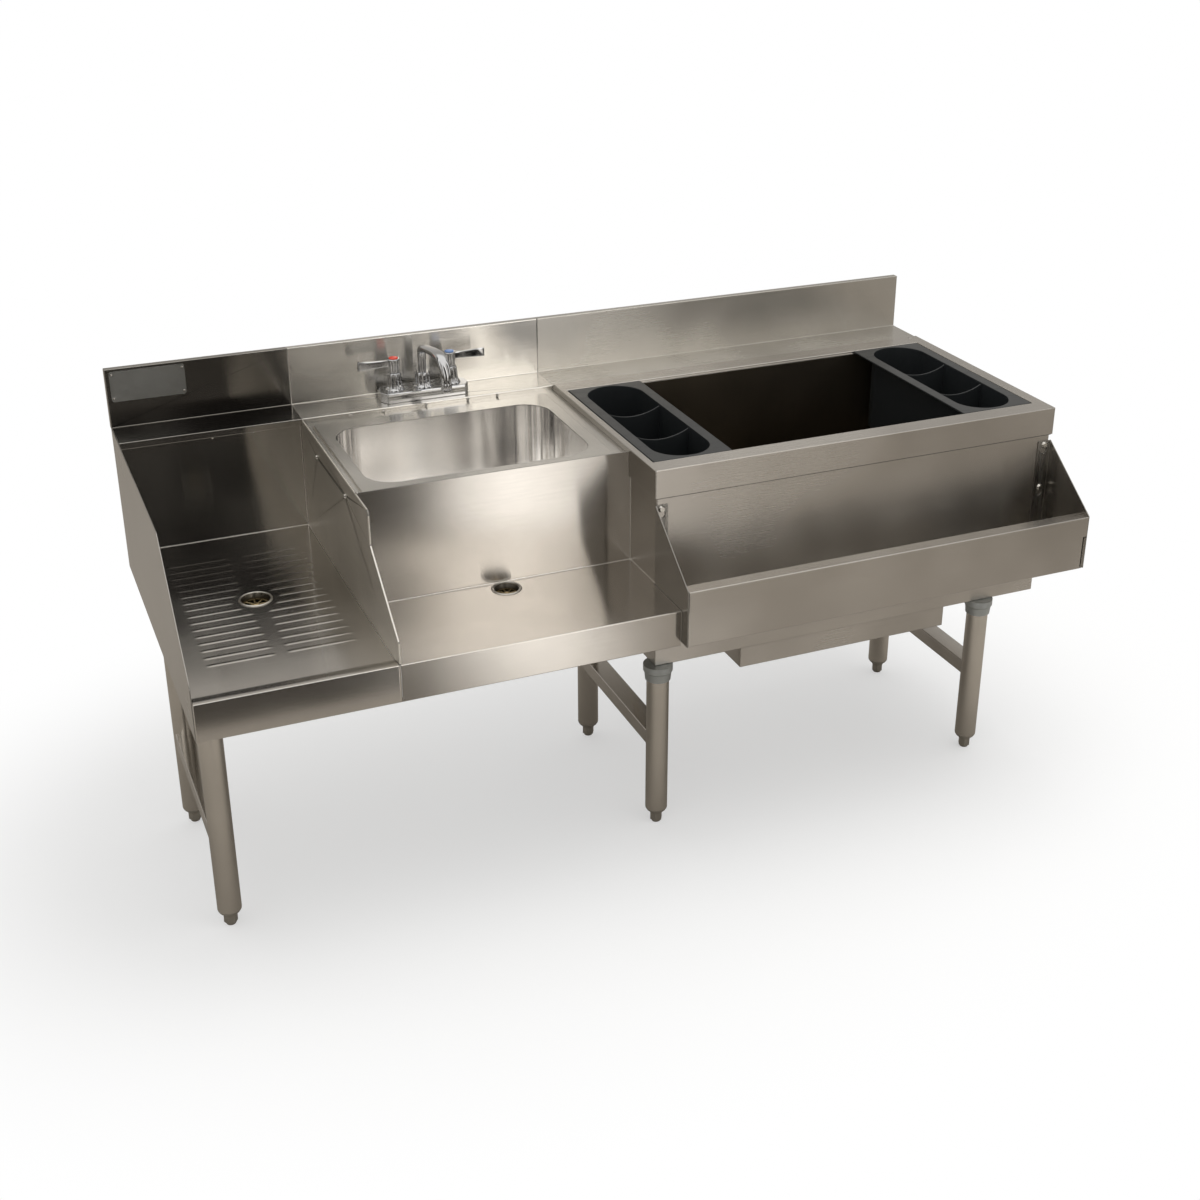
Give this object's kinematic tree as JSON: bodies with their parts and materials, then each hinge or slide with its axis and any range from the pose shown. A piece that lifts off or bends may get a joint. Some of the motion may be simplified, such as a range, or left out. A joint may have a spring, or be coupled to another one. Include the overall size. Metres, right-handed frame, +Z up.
{
  "type": "bar sink with ice bin",
  "caption": "Underbar workstation in sheet steel: ribbed drainboard, sink with deck faucet, ice bin with bottle wells and a front bottle rail, on tube legs.",
  "frame": {"origin": "on the floor under the middle of the whole bench", "axes": "+X along the bench towards the bottle rail's end, +Y back to the wall, +Z up"},
  "size_m": [1.524, 0.6726, 0.773],
  "materials": {
    "satin_steel": "satin, horizontal brushing",
    "bowl_steel": "satin, drawn bowl",
    "liner_steel": "satin, dark inside the insulated bin",
    "leg_steel": "satin tube",
    "grey_casting": "matte",
    "chrome": "polished",
    "fitting_steel": "bright",
    "drain_brass": "dull",
    "black_plastic": "semi-gloss",
    "foam": "matte foam",
    "seal_rubber": "matte",
    "plate_metal": "satin",
    "hot_red": "gloss",
    "cold_blue": "gloss",
    "cast_aluminium": "cast"
  },
  "bodies": {
    "bench": {"splash_left": "satin_steel", "splash_middle": "satin_steel", "splash_right": "satin_steel", "left_end_panel": "satin_steel", "drainboard": "satin_steel", "drainboard_channel": "satin_steel", "left_divider": "satin_steel", "divider_screws": "fitting_steel", "sink_deck": "satin_steel", "sink_bowl": "bowl_steel", "sink_apron": "satin_steel", "sink_shelf": "satin_steel", "drainboard_drain": "chrome", "shelf_drain": "chrome", "sink_drain": "chrome", "bin_drain": "chrome", "drain_gaskets": "seal_rubber", "drain_locknuts": "drain_brass", "bin_rim": "satin_steel", "bin_liner": "liner_steel", "bin_insulation": "foam", "bin_shell": "satin_steel", "cold_plate": "cast_aluminium", "cold_plate_housing": "satin_steel", "rail_studs": "fitting_steel", "leg_left_front": "leg_steel", "leg_left_rear": "leg_steel", "leg_middle_front": "leg_steel", "leg_middle_rear": "leg_steel", "leg_right_front": "leg_steel", "leg_right_rear": "leg_steel", "leg_sockets": "grey_casting", "cross_rail_left": "satin_steel", "cross_rail_middle": "satin_steel", "cross_rail_right": "satin_steel", "faucet_body": "chrome", "valve_bonnets": "chrome", "spout_nut": "chrome", "supply_shanks": "drain_brass", "shank_nuts": "drain_brass", "data_plate": "plate_metal"},
    "hot_lever_body": {"hot_lever": "chrome", "hot_index": "hot_red"},
    "cold_lever_body": {"cold_lever": "chrome", "cold_index": "cold_blue"},
    "spout_body": {"spout": "chrome", "aerator": "chrome"},
    "well_left_body": {"bottle_well_left": "black_plastic"},
    "well_right_body": {"bottle_well_right": "black_plastic"},
    "rail_body": {"rail_trough": "satin_steel", "rail_end_left": "satin_steel", "rail_end_right": "satin_steel"},
    "foot_left_front_body": {"foot_left_front": "grey_casting"},
    "foot_left_rear_body": {"foot_left_rear": "grey_casting"},
    "foot_middle_front_body": {"foot_middle_front": "grey_casting"},
    "foot_middle_rear_body": {"foot_middle_rear": "grey_casting"},
    "foot_right_front_body": {"foot_right_front": "grey_casting"},
    "foot_right_rear_body": {"foot_right_rear": "grey_casting"}
  },
  "joints": [
    {"name": "hot_lever_turn", "type": "hinge", "parent": "bench", "child": "hot_lever_body", "pos_m": [-0.2818, 0.28365, 0.709], "axis": [0, 0, 1], "range_deg": [0, 90]},
    {"name": "cold_lever_turn", "type": "hinge", "parent": "bench", "child": "cold_lever_body", "pos_m": [-0.1802, 0.28365, 0.709], "axis": [0, 0, 1], "range_deg": [-90, 0]},
    {"name": "spout_swivel", "type": "hinge", "parent": "bench", "child": "spout_body", "pos_m": [-0.231, 0.28365, 0.69], "axis": [0, 0, 1], "range_deg": [-54, 46]},
    {"name": "well_left_lift", "type": "slide", "parent": "bench", "child": "well_left_body", "axis": [0, 0, 1], "range_m": [0, 0.15]},
    {"name": "well_right_lift", "type": "slide", "parent": "bench", "child": "well_right_body", "axis": [0, 0, 1], "range_m": [0, 0.15]},
    {"name": "rail_lift", "type": "slide", "parent": "bench", "child": "rail_body", "axis": [0, 0, 1], "range_m": [0, 0.01]},
    {"name": "foot_left_front_adjust", "type": "slide", "parent": "bench", "child": "foot_left_front_body", "axis": [0, 0, -1], "range_m": [0, 0.025]},
    {"name": "foot_left_rear_adjust", "type": "slide", "parent": "bench", "child": "foot_left_rear_body", "axis": [0, 0, -1], "range_m": [0, 0.025]},
    {"name": "foot_middle_front_adjust", "type": "slide", "parent": "bench", "child": "foot_middle_front_body", "axis": [0, 0, -1], "range_m": [0, 0.025]},
    {"name": "foot_middle_rear_adjust", "type": "slide", "parent": "bench", "child": "foot_middle_rear_body", "axis": [0, 0, -1], "range_m": [0, 0.025]},
    {"name": "foot_right_front_adjust", "type": "slide", "parent": "bench", "child": "foot_right_front_body", "axis": [0, 0, -1], "range_m": [0, 0.025]},
    {"name": "foot_right_rear_adjust", "type": "slide", "parent": "bench", "child": "foot_right_rear_body", "axis": [0, 0, -1], "range_m": [0, 0.025]}
  ]
}
